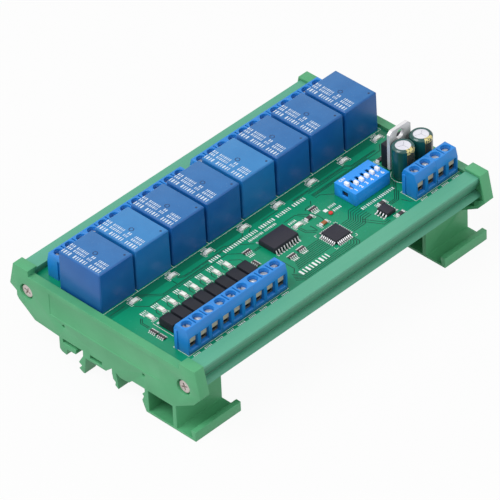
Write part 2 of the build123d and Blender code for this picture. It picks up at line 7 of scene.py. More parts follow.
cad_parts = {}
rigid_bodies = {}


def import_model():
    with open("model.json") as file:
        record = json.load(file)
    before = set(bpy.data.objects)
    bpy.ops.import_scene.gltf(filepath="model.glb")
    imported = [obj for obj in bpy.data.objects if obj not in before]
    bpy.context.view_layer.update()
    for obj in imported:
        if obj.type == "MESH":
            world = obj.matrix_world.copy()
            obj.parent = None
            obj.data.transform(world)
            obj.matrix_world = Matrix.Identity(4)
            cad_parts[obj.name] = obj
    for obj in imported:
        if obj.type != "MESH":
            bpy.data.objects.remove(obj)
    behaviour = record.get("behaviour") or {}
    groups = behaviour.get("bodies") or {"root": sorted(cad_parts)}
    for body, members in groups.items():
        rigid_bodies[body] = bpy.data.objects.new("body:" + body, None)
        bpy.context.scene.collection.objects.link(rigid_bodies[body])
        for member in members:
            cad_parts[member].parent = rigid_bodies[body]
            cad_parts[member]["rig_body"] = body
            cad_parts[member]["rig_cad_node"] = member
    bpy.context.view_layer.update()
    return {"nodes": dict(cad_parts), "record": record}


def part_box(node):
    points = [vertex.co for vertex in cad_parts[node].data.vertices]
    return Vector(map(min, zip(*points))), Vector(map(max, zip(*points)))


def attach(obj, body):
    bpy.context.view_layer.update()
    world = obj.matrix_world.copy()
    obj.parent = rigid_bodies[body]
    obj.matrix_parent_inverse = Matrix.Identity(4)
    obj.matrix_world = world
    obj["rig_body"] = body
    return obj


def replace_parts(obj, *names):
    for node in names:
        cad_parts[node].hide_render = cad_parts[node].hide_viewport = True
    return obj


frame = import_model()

mm = 0.001
root = "module"
nodes = frame["nodes"]
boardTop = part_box("circuit_board")[1][2]
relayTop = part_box("relay_1")[1][2]

print("frame loaded:", len(nodes), "nodes")


# a number socket that can be used in python sums, each of which adds a Math node
class Num:
    def __init__(self, finish, socket):
        self.finish = finish
        self.socket = socket

    def sum(self, operation, *others):
        values = [other.socket if isinstance(other, Num) else other for other in others]
        node = self.finish.add("ShaderNodeMath", {"operation": operation}, [self.socket, *values])
        return Num(self.finish, node.outputs[0])

    def __add__(self, other):
        return self.sum("ADD", other)

    def __sub__(self, other):
        return self.sum("SUBTRACT", other)

    def __mul__(self, other):
        return self.sum("MULTIPLY", other)

    def __truediv__(self, other):
        return self.sum("DIVIDE", other)

    def __rsub__(self, other):
        return (self * -1) + other

    def __gt__(self, other):
        return self.sum("GREATER_THAN", other)

    def __lt__(self, other):
        return self.sum("LESS_THAN", other)

    def __abs__(self):
        return self.sum("ABSOLUTE")

    def max(self, other):
        return self.sum("MAXIMUM", other)

    def min(self, other):
        return self.sum("MINIMUM", other)

    def sine(self):
        return self.sum("SINE")

    def fraction(self):
        return self.sum("FRACT")

    def clamp(self):
        return self.max(0.0).min(1.0)


# one material: its nodes, and the shader that they feed
class Finish:
    def __init__(self, name, rough=0.5, metal=0.0, coat=0.0, coatRough=0.1, specular=0.5):
        self.material = bpy.data.materials.new(name)
        self.material.use_nodes = True
        self.tree = self.material.node_tree
        self.shader = self.tree.nodes["Principled BSDF"]
        self.shader.inputs["Roughness"].default_value = rough
        self.shader.inputs["Metallic"].default_value = metal
        self.shader.inputs["Coat Weight"].default_value = coat
        self.shader.inputs["Coat Roughness"].default_value = coatRough
        self.shader.inputs["Specular IOR Level"].default_value = specular
        self.place = self.add("ShaderNodeTexCoord", {}, {}).outputs["Object"]

    def add(self, kind, settings, inputs):
        node = self.tree.nodes.new(kind)
        for key, value in settings.items():
            setattr(node, key, value)
        pairs = enumerate(inputs) if isinstance(inputs, list) else inputs.items()
        for key, value in pairs:
            if isinstance(value, Num):
                value = value.socket
            if isinstance(value, bpy.types.NodeSocket):
                self.tree.links.new(value, node.inputs[key])
            else:
                node.inputs[key].default_value = value
        return node

    def axis(self, name):
        split = self.add("ShaderNodeSeparateXYZ", {}, [self.place])
        return Num(self, split.outputs[name])

    def noise(self, size, detail=3.0, stretch=(1, 1, 1)):
        scaled = self.add("ShaderNodeMapping", {}, {"Vector": self.place, "Scale": stretch})
        inputs = {"Vector": scaled.outputs[0], "Scale": 1 / size, "Detail": detail}
        return Num(self, self.add("ShaderNodeTexNoise", {}, inputs).outputs["Fac"])

    def mix(self, amount, first, second):
        inputs = {"Factor": amount, 6: first, 7: second}  # 6, 7 and output 2 are the colour sockets
        return self.add("ShaderNodeMix", {"data_type": "RGBA"}, inputs).outputs[2]

    def bump(self, height, distance, strength):
        inputs = {"Height": height, "Distance": distance, "Strength": strength}
        return self.add("ShaderNodeBump", {}, inputs).outputs[0]

    def feed(self, name, value):
        socket = value.socket if isinstance(value, Num) else value
        self.tree.links.new(socket, self.shader.inputs[name])


# a colour as it shows on the screen, 0 to 255, turned into the light that the shader needs
def paint(red, green, blue):
    linear = [v / 255 / 12.92 if v <= 10 else ((v / 255 + 0.055) / 1.055) ** 2.4 for v in (red, green, blue)]
    return (*linear, 1.0)


mouldedLook = {
    "grainSize": 0.16 * mm,
    "grainDepth": 0.012 * mm,
    "cloudSize": 9 * mm,
}


def mouldedPlastic(name, colour, shade, rough, grain=1.0, coat=0.0, specular=0.5):
    finish = Finish(name, rough=rough, coat=coat, coatRough=0.25, specular=specular)
    cloud = finish.noise(mouldedLook["cloudSize"], 4.0)
    fine = finish.noise(mouldedLook["grainSize"], 2.0)
    tone = ((cloud - 0.35) * 1.6).clamp()
    finish.feed("Base Color", finish.mix(tone, shade, colour))
    finish.feed("Roughness", (fine - 0.5) * 0.12 + rough)
    finish.feed("Normal", finish.bump(fine, mouldedLook["grainDepth"] * grain, 0.6))
    return finish.material


# heights and strengths of the painted shade on the profile's front and of the painted shadow line in its
# groove
profileFront = {
    "start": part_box("carrier_profile")[1][2] - 0.6 * mm,
    "fade": 0.5 * mm,
    "groove": boardTop - 4.0 * mm,
    "line": 0.16 * mm,
    "upperShade": 0.55,
    "lowerShade": 0.12,
}


# painted shade on the front of the profile, from a little below its top to the groove and less below it, and
# a painted shadow line along the groove
def extrudedPlastic(name, colour, shade, rough):
    finish = Finish(name, rough=rough, specular=0.35)
    height = finish.axis("Z")
    below = ((profileFront["start"] - height) * (1 / profileFront["fade"])).clamp()
    extra = profileFront["upperShade"] - profileFront["lowerShade"]
    front = (height > profileFront["groove"]) * extra + profileFront["lowerShade"]
    # painted shadow line along the groove
    groove = abs(height - profileFront["groove"]) < profileFront["line"]
    lines = finish.noise(0.35 * mm, 3.0, (0.012, 1, 1))  # die lines run along the rail
    cloud = finish.noise(14 * mm, 3.0, (0.5, 1, 1))
    grain = finish.noise(0.2 * mm, 2.0)
    tone = (lines * 0.6 + cloud * 0.6 - 0.2).clamp()
    base = finish.mix(tone, shade, colour)
    shaded = finish.mix(below * front, base, paint(52, 118, 88))
    finish.feed("Base Color", finish.mix(groove * 0.7, shaded, paint(20, 62, 44)))
    finish.feed("Roughness", lines * 0.16 + (rough - 0.08))
    finish.feed("Normal", finish.bump(lines * 0.7 + grain * 0.3, 0.02 * mm, 0.5))
    return finish.material


def metalFinish(name, colour, shade, rough, size=0.25, stretch=(1, 1, 1), metal=1.0):
    finish = Finish(name, rough=rough, metal=metal)
    brush = finish.noise(size * mm, 3.0, stretch)
    cloud = finish.noise(2.5 * mm, 3.0)
    finish.feed("Base Color", finish.mix((cloud * 1.4 - 0.2).clamp(), shade, colour))
    finish.feed("Roughness", (brush - 0.5) * 0.25 + rough)
    finish.feed("Normal", finish.bump(brush, 0.01 * mm, 0.4))
    return finish.material


boardLook = {"weave": 0.55 * mm, "weaveDepth": 0.004 * mm, "stripFront": 0.1 * mm, "stripBack": 3.6 * mm}


# solder mask over the weave of the laminate, darker in a strip along the front of the relays
def boardFinish(name, colour, shade, strip=False):
    finish = Finish(name, rough=0.35, coat=0.06, coatRough=0.15, specular=0.3)
    rate = math.tau / boardLook["weave"]
    weave = (finish.axis("X") * rate).sine() * (finish.axis("Y") * rate).sine()
    cloud = finish.noise(12 * mm, 3.0)
    green = finish.mix((cloud * 1.5 - 0.25).clamp(), shade, colour)
    if strip:
        inStrip = (finish.axis("Y") > boardLook["stripFront"]) * (finish.axis("Y") < boardLook["stripBack"])
        green = finish.mix(inStrip * 0.75, green, paint(6, 100, 72))
    finish.feed("Base Color", green)
    finish.feed("Normal", finish.bump(weave * 0.5 + 0.5, boardLook["weaveDepth"], 0.4))
    return finish.material


def inkFinish(name, colour, rough=0.55):
    finish = Finish(name, rough=rough)
    worn = finish.noise(0.3 * mm, 3.0)
    faded = tuple(v * 0.82 for v in colour[:3]) + (1.0,)
    finish.feed("Base Color", finish.mix((worn * 1.8 - 0.5).clamp(), faded, colour))
    return finish.material


# painted light: lighter on top and deeper on the sides, as light falls from above, with pale specks on top;
# each pair of colours is shade and colour
def relayFinish(name, tops, sides):
    finish = Finish(name, rough=0.3, coat=0.06, coatRough=0.2, specular=0.35)
    upper = (finish.axis("Z") - (relayTop - 0.25 * mm)) * (1 / (0.2 * mm))
    cloud = finish.noise(5 * mm, 4.0)
    speck = finish.noise(0.5 * mm, 2.0)
    fine = finish.noise(0.14 * mm, 2.0)
    tone = (cloud * 1.3 - 0.15).clamp()
    top = finish.mix(tone, *tops)
    speckedLitTop = finish.mix((speck > 0.71) * 0.35, top, paint(120, 160, 200))
    side = finish.mix(tone, *sides)
    # painted light: the lighter top colours over the darker side colours
    finish.feed("Base Color", finish.mix(upper.clamp(), side, speckedLitTop))
    finish.feed("Roughness", (fine - 0.5) * 0.15 + 0.34)
    finish.feed("Normal", finish.bump(fine, 0.01 * mm, 0.5))
    return finish.material


sleeve = {"radius": 4.0 * mm, "top": boardTop + 12.7 * mm, "stripe": 0.88, "goldDepth": 1.7 * mm}


# printed sleeve with a stripe down the side that faces the front, gold where it curls over the top
def sleeveFinish(name, node):
    low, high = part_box(node)
    finish = Finish(name, rough=0.26, coat=0.3, coatRough=0.15)
    x = (finish.axis("X") - (low[0] + high[0]) / 2) * (1 / sleeve["radius"])
    y = (finish.axis("Y") - (low[1] + high[1]) / 2) * (1 / sleeve["radius"])
    reach = (x * x + y * y).sum("SQRT").max(0.01)
    stripe = (y * -1 / reach) > sleeve["stripe"]
    lines = ((x * 9).fraction() < 0.4) * 0.75
    rim = finish.axis("Z") > (sleeve["top"] - sleeve["goldDepth"])
    marks = (finish.noise(0.7 * mm, 2.0) > 0.46) * rim
    cloud = finish.noise(4 * mm, 2.0)
    base = finish.mix(cloud, paint(8, 62, 60), paint(22, 88, 84))
    dark = finish.mix(lines, paint(34, 42, 30), paint(112, 100, 58))
    gold = finish.mix(marks, dark, paint(214, 200, 128))
    finish.feed("Base Color", finish.mix(stripe, base, gold))
    return finish.material


finishes = {
    "rail": extrudedPlastic("railGreen", paint(98, 172, 144), paint(82, 158, 130), 0.46),
    "plate": mouldedPlastic("plateGreen", paint(88, 170, 121), paint(76, 158, 109), 0.5),
    "board": boardFinish("boardGreen", paint(9, 146, 106), paint(4, 128, 92), strip=True),
    "pour": boardFinish("boardRaised", paint(24, 160, 122), paint(16, 148, 110)),
    "silk": inkFinish("silkWhite", paint(248, 250, 248)),
    # each relay finish holds lighter top colours and darker side colours, painted light
    "relay": relayFinish(
        "relayBlue",
        (paint(36, 99, 160), paint(47, 112, 174)),
        (paint(14, 84, 152), paint(22, 94, 164)),
    ),
    "relayLight": relayFinish(
        "relayLight",
        (paint(48, 120, 180), paint(58, 132, 192)),
        (paint(20, 102, 168), paint(28, 112, 178)),
    ),
    "relayPrint": inkFinish("relayPrint", paint(214, 226, 240), 0.5),
    "terminal": mouldedPlastic("terminalBlue", paint(28, 136, 218), paint(22, 124, 206), 0.36, coat=0.1),
    "switch": mouldedPlastic("switchBlue", paint(36, 154, 246), paint(28, 142, 236), 0.34, coat=0.1),
    "switchDark": mouldedPlastic("switchDark", paint(24, 26, 34), paint(16, 18, 26), 0.5),
    "slider": mouldedPlastic("sliderWhite", paint(250, 250, 252), paint(242, 244, 248), 0.4),
    "steel": metalFinish("platedSteel", (0.75, 0.74, 0.72, 1), (0.5, 0.49, 0.47, 1), 0.3),
    "head": metalFinish("screwHead", paint(214, 204, 200), paint(186, 174, 170), 0.42, metal=0.55),
    "clampScrew": metalFinish("clampScrew", paint(222, 220, 214), paint(190, 188, 182), 0.4, metal=0.6),
    "clampPlate": metalFinish("clampPlate", paint(222, 208, 190), paint(190, 176, 158), 0.4, metal=0.2),
    "cage": metalFinish("cageSteel", (0.2, 0.19, 0.18, 1), (0.12, 0.12, 0.11, 1), 0.5),
    "tin": metalFinish("tinnedLead", (0.85, 0.85, 0.86, 1), (0.62, 0.62, 0.64, 1), 0.28),
    "tab": metalFinish("tabMetal", paint(232, 231, 232), paint(212, 211, 213), 0.4, 0.3, (0.1, 1, 1), 0.3),
    "epoxy": mouldedPlastic("chipBlack", paint(46, 44, 56), paint(38, 37, 47), 0.55, 1.6, specular=0.35),
    "optoBlack": mouldedPlastic("optoBlack", paint(34, 36, 46), paint(26, 28, 36), 0.5, 1.6, specular=0.3),
    "sleeve_1": sleeveFinish("sleeveFirst", "capacitor_1"),
    "sleeve_2": sleeveFinish("sleeveSecond", "capacitor_2"),
    "canTop": metalFinish("bareAluminium", paint(232, 232, 240), paint(218, 218, 228), 0.45, metal=0.3),
    "scored": mouldedPlastic("scoredLine", paint(186, 187, 194), paint(170, 171, 180), 0.5),
    "relayDark": mouldedPlastic("relayRing", paint(22, 70, 124), paint(16, 60, 112), 0.4),
    "relayDimple": mouldedPlastic("relayDimple", paint(34, 62, 100), paint(26, 50, 86), 0.5),
    "solder": metalFinish("solderedTin", paint(232, 231, 230), paint(206, 205, 206), 0.42, metal=0.15),
    # painted shade for the terminals' slots
    "terminalSlotShade": mouldedPlastic("terminalShade", paint(8, 44, 96), paint(6, 36, 80), 0.6),
    "gap": mouldedPlastic("traceGap", paint(0, 72, 52), paint(0, 60, 44), 0.4),
    "ceramic": mouldedPlastic("chipCeramic", paint(176, 112, 66), paint(156, 92, 50), 0.5),
    "lensRed": mouldedPlastic("ledRed", paint(226, 60, 52), paint(206, 40, 40), 0.3),
    "lens": mouldedPlastic("ledMilky", paint(246, 247, 240), paint(234, 237, 228), 0.35),
    "resistor": mouldedPlastic("resistorGlaze", paint(64, 56, 58), paint(50, 44, 46), 0.35),
}

slotFinish = {
    "carrier_plastic": "rail",
    "plate_plastic": "plate",
    "screw_steel": "steel",
    "board_laminate": "board",
    "relay_case": "relay",
    "terminal_plastic": "terminal",
    "clamp_steel": "steel",
    "tinned_metal": "tin",
    "switch_plastic": "switch",
    "switch_base_plastic": "switchDark",
    "slider_plastic": "slider",
    "regulator_metal": "tab",
    "mould_black": "epoxy",
    "sleeve_green": "sleeve_1",
    "led_lens": "lens",
    "resistor_body": "resistor",
}


def wear(piece, finish):
    piece.data.materials.clear()
    piece.data.materials.append(finishes[finish])


nodeSlot = {part["node"]: part["material_slot"] for part in frame["record"]["subparts"]}
for name, node in nodes.items():
    wear(node, "sleeve_2" if name == "capacitor_2" else slotFinish[nodeSlot[name]])

print("finishes made:", len(finishes))


def pick(*pieces):
    bpy.ops.object.select_all(action="DESELECT")
    for piece in pieces:
        piece.select_set(True)
    bpy.context.view_layer.objects.active = pieces[0]


# place, turn and size go into the mesh, so that the object sits at the origin
def settle(piece):
    pick(piece)
    bpy.ops.object.transform_apply(location=True, rotation=True, scale=True)


def applyModifiers(piece):
    pick(piece)
    for name in [modifier.name for modifier in piece.modifiers]:
        bpy.ops.object.modifier_apply(modifier=name)


rounding = {"edgeAngle": math.radians(30), "smoothAngle": math.radians(35)}


def roundEdges(piece, width, segments=2):
    bevel = piece.modifiers.new("roundEdges", "BEVEL")
    bevel.width = width
    bevel.segments = segments
    bevel.limit_method = "ANGLE"
    bevel.angle_limit = rounding["edgeAngle"]
    bevel.use_clamp_overlap = True
    applyModifiers(piece)
    bpy.ops.object.shade_smooth_by_angle(angle=rounding["smoothAngle"])


def finishPiece(piece, name, finish):
    piece.name = name
    piece.data.name = name
    wear(piece, finish)
    settle(piece)
    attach(piece, root)
    return piece


merging = {"reach": 0.002 * mm, "flatAngle": math.radians(0.5)}


# a loose copy of a CAD node with its corners merged and its flat faces made whole
def mergedCopy(node):
    piece = nodes[node].copy()
    piece.data = nodes[node].data.copy()
    bpy.context.scene.collection.objects.link(piece)
    piece.parent = None
    piece.hide_viewport = False
    piece.hide_render = False
    del piece["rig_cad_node"]
    del piece["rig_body"]
    pick(piece)
    bpy.ops.object.mode_set(mode="EDIT")
    bpy.ops.mesh.select_all(action="SELECT")
    bpy.ops.mesh.remove_doubles(threshold=merging["reach"])
    bpy.ops.mesh.dissolve_limited(angle_limit=merging["flatAngle"])
    bpy.ops.object.mode_set(mode="OBJECT")
    return piece


# the copy with its edges rounded, which stands for the node
def easedCopy(node, width, segments=2, body=root):
    piece = mergedCopy(node)
    roundEdges(piece, width, segments)
    piece.name = node + "_eased"
    piece.data.name = piece.name
    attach(piece, body)
    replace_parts(piece, node)
    return piece


edges = {
    "plate": 0.35 * mm,
    "relay": 0.3 * mm,
    "terminal": 0.16 * mm,
    "switch": 0.16 * mm,
    "chip": 0.08 * mm,
    "cage": 0.08 * mm,
    "sleeve": 0.3 * mm,
    "slider": 0.06 * mm,
}

for side in ("left", "right"):
    easedCopy(f"end_plate_{side}", edges["plate"])
for number in range(1, 9):
    wear(easedCopy(f"relay_{number}", edges["relay"]), "relayLight" if number in (2, 5) else "relay")
    easedCopy(f"output_terminal_{number}", edges["terminal"])
for number in range(1, 4):
    easedCopy(f"input_terminal_{number}", edges["terminal"])
for number in range(1, 3):
    easedCopy(f"supply_terminal_{number}", edges["terminal"])
easedCopy("switch_cover", edges["switch"])
for chip in ("driver_chip", "controller_chip", "transceiver_chip"):
    easedCopy(chip, edges["chip"])
for chip in ("optocouplers", "regulator_body"):
    wear(easedCopy(chip, edges["chip"]), "optoBlack")
for number in range(1, 3):
    easedCopy(f"capacitor_{number}", edges["sleeve"], 3)
for number in range(1, 7):
    easedCopy(f"switch_slider_{number}", edges["slider"], body=f"switch_slider_{number}")

print("moulded pieces eased")


# lowest and highest corners, in millimetres, of each separate solid in a CAD node, from left to right
def solids(node):
    copy = mergedCopy(node)
    pick(copy)
    bpy.ops.mesh.separate(type="LOOSE")
    boxes = []
    for piece in list(bpy.context.selected_objects):
        corners = [vertex.co / mm for vertex in piece.data.vertices]
        low = [min(corner[i] for corner in corners) for i in range(3)]
        high = [max(corner[i] for corner in corners) for i in range(3)]
        boxes.append((low, high))
        bpy.data.objects.remove(piece)
    return sorted(boxes)


# middle of each solid of a node on the board, and a quarter turn where it is longer along Y
def spots(node):
    found = []
    for low, high in solids(node):
        turn = 90 if high[1] - low[1] > high[0] - low[0] else 0
        found.append(((low[0] + high[0]) / 2, (low[1] + high[1]) / 2, turn))
    return found


def middle(node):
    low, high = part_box(node)
    return (low[0] + high[0]) / 2 / mm, (low[1] + high[1]) / 2 / mm


def joined(pieces):
    pick(*pieces)
    if len(pieces) > 1:
        bpy.ops.object.join()
    return bpy.context.active_object


# copies of a piece modelled at the origin, at a level in metres: each place is x and y in mm and a turn
def repeat(piece, places, level=boardTop):
    copies = []
    for x, y, turn in places:
        pick(piece)
        bpy.ops.object.duplicate()
        copy = bpy.context.active_object
        copy.location = (x * mm, y * mm, level)
        copy.rotation_euler.z = math.radians(turn)
        settle(copy)
        copies.append(copy)
    bpy.data.objects.remove(piece)
    return joined(copies)


# one mesh of small blocks, each with its middle and its size in millimetres
def blocks(parts):
    bpy.ops.object.select_all(action="DESELECT")
    for number, (place, size) in enumerate(parts):
        where = [v * mm for v in place]
        bpy.ops.mesh.primitive_cube_add(size=mm, location=where, scale=size)
        if number == 0:
            piece = bpy.context.active_object
            settle(piece)
            bpy.ops.object.mode_set(mode="EDIT")
    bpy.ops.object.mode_set(mode="OBJECT")
    return piece


def cutAway(piece, cutter):
    cut = piece.modifiers.new("cut", "BOOLEAN")
    cut.operation = "DIFFERENCE"
    cut.solver = "EXACT"
    cut.object = cutter
    applyModifiers(piece)
    bpy.data.objects.remove(cutter)


def cylinder(radius, height, sides, base=(0, 0, 0)):
    bpy.ops.object.select_all(action="DESELECT")
    bpy.ops.mesh.primitive_cylinder_add(vertices=sides, radius=radius * mm, depth=height * mm)
    piece = bpy.context.active_object
    piece.location = [v * mm for v in (base[0], base[1], base[2] + height / 2)]
    settle(piece)
    return piece


# drawn lines turned into thin ribbons that lie on a surface; points in millimetres
def ribbons(width, thickness, level, lines, closed=False):
    bpy.ops.object.select_all(action="DESELECT")
    bpy.ops.curve.primitive_nurbs_path_add()
    drawn = bpy.context.active_object
    curve = drawn.data
    curve.splines.clear()
    curve.dimensions = "3D"
    for points in lines:
        spline = curve.splines.new("POLY")
        spline.points.add(len(points) - 1)
        for spot, (x, y) in zip(spline.points, points):
            spot.co = (x * mm, y * mm, 0, 1)
        spline.use_cyclic_u = closed
    curve.bevel_depth = width * mm / 2
    curve.bevel_resolution = 0
    curve.use_fill_caps = True
    pick(drawn)
    bpy.ops.object.convert(target="MESH")
    drawn = bpy.context.active_object
    drawn.scale.z = thickness / width
    drawn.location.z = level
    settle(drawn)
    return drawn


def ring(x, y, radius, sides):
    angles = [math.tau * i / sides for i in range(sides)]
    return [(x + radius * math.cos(angle), y + radius * math.sin(angle)) for angle in angles]


def oblong(left, right, front, back):
    return [(left, front), (right, front), (right, back), (left, back)]


letters = {"thickness": 0.008 * mm, "swell": 0.04 * mm}


# numerals and short words, each given with the middle of its place in millimetres
def lettering(words, size, level):
    pieces = []
    for word, x, y in words:
        bpy.ops.object.select_all(action="DESELECT")
        bpy.ops.object.text_add(location=(x * mm, y * mm, level))
        text = bpy.context.active_object
        text.data.body = word
        text.data.size = size * mm
        text.data.align_x = "CENTER"
        text.data.align_y = "CENTER"
        text.data.extrude = letters["thickness"]
        text.data.offset = letters["swell"]
        bpy.ops.object.convert(target="MESH")
        settle(bpy.context.active_object)
        pieces.append(bpy.context.active_object)
    return joined(pieces)


# widths, gap and shortest end piece are times the height of the row
tick = {"widths": (0.2, 0.36, 0.26), "gap": 0.38, "shortest": 0.25, "thickness": 0.03}


# a printed line of plain upright ticks from start to end along X, which leaves out the gaps
def markRow(start, end, y, height, level, seed, gaps):
    parts = []
    x = start
    kind = seed
    while x < end - height * tick["shortest"]:
        kind = (kind * 5 + 3) % 17  # mixes the widths
        wide = height * tick["widths"][kind % 3]
        if not any(low < x + wide / 2 < high for low, high in gaps):
            parts.append(((x + wide / 2, y, level), (wide, height, tick["thickness"])))
        x += wide + height * tick["gap"]
    return parts


relay = {
    "count": 8,
    "printRows": [  # distance from the relay's middle, height of the marks, and gaps from the row's back end
        (-6.15, 1.6, ((4.0, 4.5), (11.1, 11.9), (15.0, 15.6))),
        (-3.95, 1.15, ((2.3, 3.2), (7.9, 9.2), (11.5, 12.5))),
        (-2.35, 1.15, ((2.3, 3.2), (7.9, 9.2), (11.5, 12.5))),
    ],
    "printBack": 8.9,
    "printLength": 17.3,
    "ring": (-0.35, -0.25, 0.8),  # x, y and radius
    "ringLine": (0.34, 0.06),  # width and thickness
    "gateMark": (5.35, -8.0, 0.42),  # x, y and radius
    "gateThickness": 0.04,
    "gateSunk": 0.01,
}
relayMiddles = [middle(f"relay_{i + 1}") for i in range(relay["count"])]


# print, a moulded ring and a gate mark on the top of each relay; the print runs from back to front
def relayMarks():
    strokes = []
    for seed, (across, height, gaps) in enumerate(relay["printRows"], 4):
        row = markRow(0, relay["printLength"], 0, height, 0, seed, gaps)
        for (x, y, z), (long, wide, thick) in row:
            strokes.append(((across + y, relay["printBack"] - x, z), (wide, long, thick)))
    places = [(x, y, 0) for x, y in relayMiddles]
    finishPiece(repeat(blocks(strokes), places, relayTop), "relay_print", "relayPrint")
    circle = ribbons(*relay["ringLine"], 0, [ring(*relay["ring"], 20)], True)
    finishPiece(repeat(circle, places, relayTop), "relay_rings", "relayDark")
    x, y, radius = relay["gateMark"]
    gate = cylinder(radius, relay["gateThickness"], 14, (x, y, -relay["gateSunk"]))
    finishPiece(repeat(gate, places, relayTop), "relay_gate_marks", "relayDimple")


relayMarks()
print("relay print and moulding marks made")

clampScrew = {
    "radius": 1.66,
    "height": 1.9,
    "slot": (3.6, 0.55, 0.6),  # length, width and depth
    "rim": 0.14,
    "firstTurn": 61,
    "turnStep": 37,
}
clampPlate = {"size": (3.0, 0.25, 2.6), "level": 5.15, "fromWell": 2.2}
rows = ("input", "supply", "output")


def slottedScrew():
    screw = cylinder(clampScrew["radius"], clampScrew["height"], 20)
    length, width, depth = clampScrew["slot"]
    cutAway(screw, blocks([((0, 0, clampScrew["height"]), (length, width, 2 * depth))]))
    roundEdges(screw, clampScrew["rim"] * mm, 1)
    return screw


wells = {row: spots(f"{row}_clamp_screws") for row in rows}
for row in rows:
    turns = [(clampScrew["turnStep"] * i + clampScrew["firstTurn"]) % 180 for i in range(len(wells[row]))]
    places = [(x, y, turn) for (x, y, _), turn in zip(wells[row], turns)]
    screws = repeat(slottedScrew(), places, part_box(f"{row}_clamp_screws")[0][2])
    finishPiece(screws, f"{row}_slotted_screws", "clampScrew")
    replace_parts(screws, f"{row}_clamp_screws")
    wear(easedCopy(f"{row}_clamp_cages", edges["cage"], 1), "cage")
    reach = clampPlate["fromWell"] if row == "output" else -clampPlate["fromWell"]
    level = boardTop / mm + clampPlate["level"]
    plates = blocks([((x, y + reach, level), clampPlate["size"]) for x, y, _ in wells[row]])
    finishPiece(plates, f"{row}_clamp_plates", "clampPlate")

plateScrew = {
    "radius": 2.4,
    "height": 1.1,
    "cross": (2.8, 0.6, 0.65),  # length, width and depth
    "dome": 0.22,
    "face": 68.0,
    "turns": (20, 65),
}


def crossScrew():
    screw = cylinder(plateScrew["radius"], plateScrew["height"], 28)
    roundEdges(screw, plateScrew["dome"] * mm, 3)
    length, width, depth = plateScrew["cross"]
    for size in ((length, width, 2 * depth), (width, length, 2 * depth)):
        cutAway(screw, blocks([((0, 0, plateScrew["height"]), size)]))
    bpy.ops.object.shade_smooth_by_angle(angle=rounding["smoothAngle"])
    return screw


heads = []
for (low, high), turn in zip(solids("end_plate_screws"), plateScrew["turns"] * 2):
    side = -1 if low[0] < 0 else 1
    head = crossScrew()
    head.rotation_mode = "ZYX"
    head.rotation_euler = (0, math.radians(90 * side), math.radians(turn))
    place = (side * plateScrew["face"], (low[1] + high[1]) / 2, (low[2] + high[2]) / 2)
    head.location = [v * mm for v in place]
    settle(head)
    heads.append(head)
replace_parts(finishPiece(joined(heads), "plate_cross_screws", "head"), "end_plate_screws")

print("screws made")

led = {
    "length": 3.2,
    "width": 1.6,
    "base": 0.35,
    "height": 0.8,
    "lens": 2.1,
    "rounding": 0.18,
    "slack": 0.1,
    "end": 0.5,
    "endHeight": 0.45,
}
redLed = {"radius": 0.8, "height": 0.78, "dome": 0.3}
channelLeds = spots("channel_leds")
inputLeds = spots("input_leds")
statusLeds = spots("status_leds")


def ledBodies(places, name, finish):
    width = led["width"] - led["slack"]
    base = blocks([((0, 0, led["base"] / 2), (led["length"] - led["slack"], width, led["base"]))])
    lens = blocks([((0, 0, led["height"] / 2), (led["lens"], width, led["height"]))])
    roundEdges(lens, led["rounding"] * mm)
    return finishPiece(repeat(joined([lens, base]), places), name, finish)


metalEdge = 0.06 * mm


# the two metal ends of an LED or a chip part
def metalEnds(length, width, height, end):
    shift = (length - end) / 2
    ends = blocks([((side * shift, 0, height / 2), (end, width, height)) for side in (-1, 1)])
    roundEdges(ends, metalEdge, 1)
    return ends


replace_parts(ledBodies(channelLeds, "channel_led_bodies", "lens"), "channel_leds")
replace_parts(ledBodies(inputLeds, "input_led_bodies", "lens"), "input_leds")
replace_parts(ledBodies(statusLeds[:1], "status_led_white", "lens"), "status_leds")
redLens = cylinder(redLed["radius"], redLed["height"], 20)
roundEdges(redLens, redLed["dome"] * mm, 3)
finishPiece(repeat(redLens, statusLeds[1:]), "status_led_red", "lensRed")
whiteLeds = channelLeds + inputLeds + statusLeds[:1]
ends = metalEnds(led["length"], led["width"], led["endHeight"], led["end"])
finishPiece(repeat(ends, whiteLeds), "led_ends", "solder")

array = {
    "body": ((0, 0, 0.26), (3.1, 1.2, 0.48)),  # middle and size
    "edge": 0.05 * mm,
    "alongs": (-1.2, -0.4, 0.4, 1.2),
    "endAcross": 0.66,
    "endLevel": 0.27,
    "end": (0.34, 0.42, 0.54),
}
arrays = spots("resistor_arrays")
arrayBody = blocks([array["body"]])
roundEdges(arrayBody, array["edge"], 1)
bodies = finishPiece(repeat(arrayBody, arrays), "array_bodies", "resistor")
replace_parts(bodies, "resistor_arrays")
arrayEnds = []
for along in array["alongs"]:
    for side in (-1, 1):
        arrayEnds.append(((along, side * array["endAcross"], array["endLevel"]), array["end"]))
finishPiece(repeat(blocks(arrayEnds), arrays), "array_ends", "solder")

chipPart = {
    "black": ((0, 0, 0.33), (2.2, 1.44, 0.62)),  # middle and size
    "blackEdge": 0.05 * mm,
    "brown": ((0, 0, 0.35), (2.1, 1.4, 0.68)),
    "brownEdge": 0.1 * mm,
    "brownSpot": Vector((15.9, -17.2)),
    "ends": (2.96, 1.5, 0.69, 0.5),  # length, width, height and length of each end
}
chips = spots("chip_resistors")
brownChip = min(chips, key=lambda chip: (Vector(chip[:2]) - chipPart["brownSpot"]).length)
blackChips = [chip for chip in chips if chip is not brownChip]
chipBody = blocks([chipPart["black"]])
roundEdges(chipBody, chipPart["blackEdge"], 1)
bodies = finishPiece(repeat(chipBody, blackChips), "chip_resistor_bodies", "resistor")
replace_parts(bodies, "chip_resistors")
brown = blocks([chipPart["brown"]])
roundEdges(brown, chipPart["brownEdge"])
finishPiece(repeat(brown, [brownChip]), "chip_capacitor_body", "ceramic")
finishPiece(repeat(metalEnds(*chipPart["ends"]), chips), "chip_ends", "solder")

print("small pieces made")

